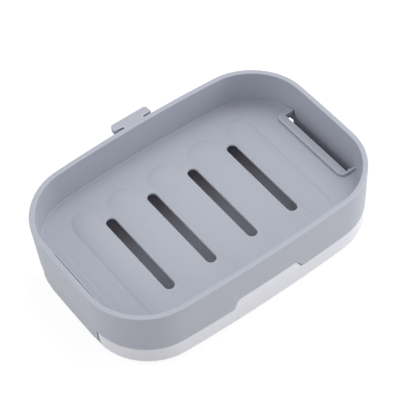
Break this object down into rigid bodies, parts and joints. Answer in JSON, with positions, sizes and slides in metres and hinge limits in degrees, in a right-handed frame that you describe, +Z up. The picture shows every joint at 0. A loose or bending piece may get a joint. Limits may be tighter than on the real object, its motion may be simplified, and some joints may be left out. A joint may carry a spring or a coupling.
{
  "type": "soap dish",
  "caption": "Low rounded soap tray with drain slots between ribs, seated in a drip base on soft feet, with a kerbed opening at each end and a hinge bar behind.",
  "frame": {"origin": "on the surface that the dish stands on, at the middle of the box round the whole dish", "axes": "+Z up, +X to the right along the long side as seen from the front, where the base's tab fills the notch, +Y to the back, where the hinge bar is"},
  "size_m": [0.1378, 0.0992, 0.0336],
  "materials": {
    "tray_plastic": "satin moulded grey",
    "base_plastic": "satin moulded white",
    "foot_rubber": "soft matt"
  },
  "bodies": {
    "base": {"drip_base": "base_plastic", "foot_front_left": "foot_rubber", "foot_front_right": "foot_rubber", "foot_back_left": "foot_rubber", "foot_back_right": "foot_rubber"},
    "tray": {"drain_tray": "tray_plastic"}
  },
  "joints": [
    {"name": "tray_lift", "type": "slide", "parent": "base", "child": "tray", "axis": [0, 0, 1], "range_m": [0, 0.03]}
  ]
}
